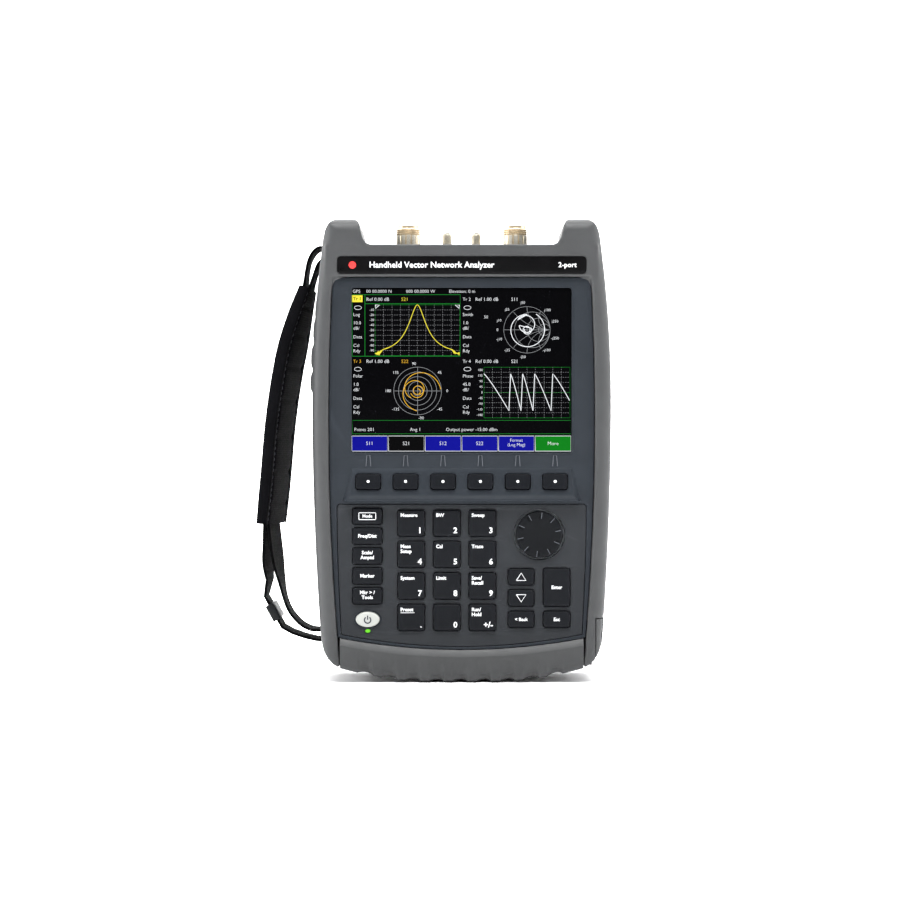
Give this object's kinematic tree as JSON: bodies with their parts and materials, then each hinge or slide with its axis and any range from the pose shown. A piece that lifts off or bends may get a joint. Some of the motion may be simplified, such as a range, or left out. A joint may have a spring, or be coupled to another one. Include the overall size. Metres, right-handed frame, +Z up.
{
  "type": "handheld vector network analyzer",
  "caption": "Rugged handheld network analyzer: rubber-cornered case, display over softkeys, keypad with knob, top test ports, side hand strap, battery door and tilt stand.",
  "frame": {"origin": "middle of the flat under the bottom bumper, which the instrument stands on", "axes": "+Z up along the case, +X to the operator's right, the display and keys face -Y"},
  "size_m": [0.2251, 0.0733, 0.2917],
  "materials": {
    "bezel_plastic": "moulded, fine satin grain",
    "housing_plastic": "moulded, fine satin grain",
    "bumper_rubber": "satin elastomer overmould",
    "panel_metal": "dark powder coat",
    "plated_connector": "bright nickel and pale gold plating",
    "title_plastic": "satin black label",
    "display_glass": "clear hard-coated pane over a dark screen",
    "green_lens": "small clear lens",
    "shield_metal": "tinned sheet",
    "silicone": "matte silicone",
    "circuit_board": "green solder mask",
    "black_plastic": "satin black",
    "key_plastic": "satin hard cap with white legend",
    "white_key_plastic": "satin white cap",
    "knob_plastic": "soft-touch black",
    "battery_case": "satin black shell",
    "strap_fabric": "padded woven nylon",
    "webbing": "woven nylon webbing",
    "lug_steel": "plain steel bar"
  },
  "bodies": {
    "housing": {"front_bezel": "bezel_plastic", "rear_housing": "housing_plastic", "left_bumper": "bumper_rubber", "right_bumper": "bumper_rubber", "bottom_bumper": "bumper_rubber", "top_panel": "panel_metal", "port_1_connector": "plated_connector", "port_2_connector": "plated_connector", "gps_antenna_connector": "plated_connector", "reference_connector": "plated_connector", "title_strip": "title_plastic", "display_window": "display_glass", "power_led": "green_lens", "lcd_module": "shield_metal", "keypad_membrane": "silicone", "main_board": "circuit_board", "rf_module": "shield_metal", "knob_encoder": "black_plastic", "strap_sleeve": "strap_fabric", "strap_webbing_upper": "webbing", "strap_webbing_lower": "webbing", "upper_strap_lug": "lug_steel", "lower_strap_lug": "lug_steel"},
    "softkey_1": {"softkey_1": "key_plastic"},
    "softkey_2": {"softkey_2": "key_plastic"},
    "softkey_3": {"softkey_3": "key_plastic"},
    "softkey_4": {"softkey_4": "key_plastic"},
    "softkey_5": {"softkey_5": "key_plastic"},
    "softkey_6": {"softkey_6": "key_plastic"},
    "mode_key": {"mode_key": "key_plastic"},
    "frequency_key": {"frequency_key": "key_plastic"},
    "scale_key": {"scale_key": "key_plastic"},
    "marker_key": {"marker_key": "key_plastic"},
    "tools_key": {"tools_key": "key_plastic"},
    "digit_0_key": {"digit_0_key": "key_plastic"},
    "digit_1_key": {"digit_1_key": "key_plastic"},
    "digit_2_key": {"digit_2_key": "key_plastic"},
    "digit_3_key": {"digit_3_key": "key_plastic"},
    "digit_4_key": {"digit_4_key": "key_plastic"},
    "digit_5_key": {"digit_5_key": "key_plastic"},
    "digit_6_key": {"digit_6_key": "key_plastic"},
    "digit_7_key": {"digit_7_key": "key_plastic"},
    "digit_8_key": {"digit_8_key": "key_plastic"},
    "digit_9_key": {"digit_9_key": "key_plastic"},
    "point_key": {"point_key": "key_plastic"},
    "sign_key": {"sign_key": "key_plastic"},
    "up_key": {"up_key": "key_plastic"},
    "down_key": {"down_key": "key_plastic"},
    "back_key": {"back_key": "key_plastic"},
    "enter_key": {"enter_key": "key_plastic"},
    "escape_key": {"escape_key": "key_plastic"},
    "power_key": {"power_key": "white_key_plastic"},
    "tuning_knob": {"tuning_knob": "knob_plastic"},
    "right_port_door": {"right_port_door": "bumper_rubber"},
    "left_port_door": {"left_port_door": "bumper_rubber"},
    "battery_pack": {"battery_pack": "battery_case"},
    "battery_door": {"battery_door": "bezel_plastic"},
    "battery_door_latch": {"battery_door_latch": "key_plastic"},
    "tilt_stand": {"tilt_stand": "housing_plastic"},
    "strap_buckle": {"strap_buckle": "black_plastic"}
  },
  "joints": [
    {"name": "softkey_1_press", "type": "slide", "parent": "housing", "child": "softkey_1", "axis": [0, 0.9835, -0.181], "range_m": [0, 0.001], "stiffness_N_per_m": 1200},
    {"name": "softkey_2_press", "type": "slide", "parent": "housing", "child": "softkey_2", "axis": [0, 0.9835, -0.181], "range_m": [0, 0.001], "stiffness_N_per_m": 1200},
    {"name": "softkey_3_press", "type": "slide", "parent": "housing", "child": "softkey_3", "axis": [0, 0.9835, -0.181], "range_m": [0, 0.001], "stiffness_N_per_m": 1200},
    {"name": "softkey_4_press", "type": "slide", "parent": "housing", "child": "softkey_4", "axis": [0, 0.9835, -0.181], "range_m": [0, 0.001], "stiffness_N_per_m": 1200},
    {"name": "softkey_5_press", "type": "slide", "parent": "housing", "child": "softkey_5", "axis": [0, 0.9835, -0.181], "range_m": [0, 0.001], "stiffness_N_per_m": 1200},
    {"name": "softkey_6_press", "type": "slide", "parent": "housing", "child": "softkey_6", "axis": [0, 0.9835, -0.181], "range_m": [0, 0.001], "stiffness_N_per_m": 1200},
    {"name": "mode_key_press", "type": "slide", "parent": "housing", "child": "mode_key", "axis": [0, 1, 0], "range_m": [0, 0.001], "stiffness_N_per_m": 1200},
    {"name": "frequency_key_press", "type": "slide", "parent": "housing", "child": "frequency_key", "axis": [0, 1, 0], "range_m": [0, 0.001], "stiffness_N_per_m": 1200},
    {"name": "scale_key_press", "type": "slide", "parent": "housing", "child": "scale_key", "axis": [0, 1, 0], "range_m": [0, 0.001], "stiffness_N_per_m": 1200},
    {"name": "marker_key_press", "type": "slide", "parent": "housing", "child": "marker_key", "axis": [0, 1, 0], "range_m": [0, 0.001], "stiffness_N_per_m": 1200},
    {"name": "tools_key_press", "type": "slide", "parent": "housing", "child": "tools_key", "axis": [0, 1, 0], "range_m": [0, 0.001], "stiffness_N_per_m": 1200},
    {"name": "digit_0_key_press", "type": "slide", "parent": "housing", "child": "digit_0_key", "axis": [0, 1, 0], "range_m": [0, 0.001], "stiffness_N_per_m": 1200},
    {"name": "digit_1_key_press", "type": "slide", "parent": "housing", "child": "digit_1_key", "axis": [0, 1, 0], "range_m": [0, 0.001], "stiffness_N_per_m": 1200},
    {"name": "digit_2_key_press", "type": "slide", "parent": "housing", "child": "digit_2_key", "axis": [0, 1, 0], "range_m": [0, 0.001], "stiffness_N_per_m": 1200},
    {"name": "digit_3_key_press", "type": "slide", "parent": "housing", "child": "digit_3_key", "axis": [0, 1, 0], "range_m": [0, 0.001], "stiffness_N_per_m": 1200},
    {"name": "digit_4_key_press", "type": "slide", "parent": "housing", "child": "digit_4_key", "axis": [0, 1, 0], "range_m": [0, 0.001], "stiffness_N_per_m": 1200},
    {"name": "digit_5_key_press", "type": "slide", "parent": "housing", "child": "digit_5_key", "axis": [0, 1, 0], "range_m": [0, 0.001], "stiffness_N_per_m": 1200},
    {"name": "digit_6_key_press", "type": "slide", "parent": "housing", "child": "digit_6_key", "axis": [0, 1, 0], "range_m": [0, 0.001], "stiffness_N_per_m": 1200},
    {"name": "digit_7_key_press", "type": "slide", "parent": "housing", "child": "digit_7_key", "axis": [0, 1, 0], "range_m": [0, 0.001], "stiffness_N_per_m": 1200},
    {"name": "digit_8_key_press", "type": "slide", "parent": "housing", "child": "digit_8_key", "axis": [0, 1, 0], "range_m": [0, 0.001], "stiffness_N_per_m": 1200},
    {"name": "digit_9_key_press", "type": "slide", "parent": "housing", "child": "digit_9_key", "axis": [0, 1, 0], "range_m": [0, 0.001], "stiffness_N_per_m": 1200},
    {"name": "point_key_press", "type": "slide", "parent": "housing", "child": "point_key", "axis": [0, 1, 0], "range_m": [0, 0.001], "stiffness_N_per_m": 1200},
    {"name": "sign_key_press", "type": "slide", "parent": "housing", "child": "sign_key", "axis": [0, 1, 0], "range_m": [0, 0.001], "stiffness_N_per_m": 1200},
    {"name": "up_key_press", "type": "slide", "parent": "housing", "child": "up_key", "axis": [0, 1, 0], "range_m": [0, 0.001], "stiffness_N_per_m": 1200},
    {"name": "down_key_press", "type": "slide", "parent": "housing", "child": "down_key", "axis": [0, 1, 0], "range_m": [0, 0.001], "stiffness_N_per_m": 1200},
    {"name": "back_key_press", "type": "slide", "parent": "housing", "child": "back_key", "axis": [0, 1, 0], "range_m": [0, 0.001], "stiffness_N_per_m": 1200},
    {"name": "enter_key_press", "type": "slide", "parent": "housing", "child": "enter_key", "axis": [0, 1, 0], "range_m": [0, 0.001], "stiffness_N_per_m": 1200},
    {"name": "escape_key_press", "type": "slide", "parent": "housing", "child": "escape_key", "axis": [0, 1, 0], "range_m": [0, 0.001], "stiffness_N_per_m": 1200},
    {"name": "power_key_press", "type": "slide", "parent": "housing", "child": "power_key", "axis": [0, 1, 0], "range_m": [0, 0.001], "stiffness_N_per_m": 1200},
    {"name": "knob_turn", "type": "hinge", "parent": "housing", "child": "tuning_knob", "pos_m": [0.0487, -0.034, 0.0929], "axis": [0, 1, 0], "continuous": true},
    {"name": "right_port_door_hinge", "type": "hinge", "parent": "housing", "child": "right_port_door", "pos_m": [0.09282, 0.0109, 0.118], "axis": [-0.0061, 0, 1], "range_deg": [0, 80]},
    {"name": "left_port_door_hinge", "type": "hinge", "parent": "housing", "child": "left_port_door", "pos_m": [-0.08983, 0.0244, 0.052], "axis": [-0.0526, 0, 0.9986], "range_deg": [-80, 0]},
    {"name": "battery_slide", "type": "slide", "parent": "housing", "child": "battery_pack", "axis": [1, 0, 0], "range_m": [0, 0.15]},
    {"name": "battery_door_slide", "type": "slide", "parent": "housing", "child": "battery_door", "axis": [1, 0, 0], "range_m": [0, 0.15]},
    {"name": "battery_latch_press", "type": "slide", "parent": "battery_door", "child": "battery_door_latch", "axis": [-1, 0, 0], "range_m": [0, 0.0015], "stiffness_N_per_m": 1200},
    {"name": "tilt_stand_hinge", "type": "hinge", "parent": "housing", "child": "tilt_stand", "pos_m": [0, 0.0338, 0.19], "axis": [1, 0, 0], "range_deg": [0, 60]},
    {"name": "strap_buckle_slide", "type": "slide", "parent": "housing", "child": "strap_buckle", "axis": [0.5792, 0, -0.8152], "range_m": [-0.003, 0.003]}
  ],
  "couplings": [
    {"joint": "battery_door_slide", "follows": "battery_slide", "ratio": 1}
  ]
}
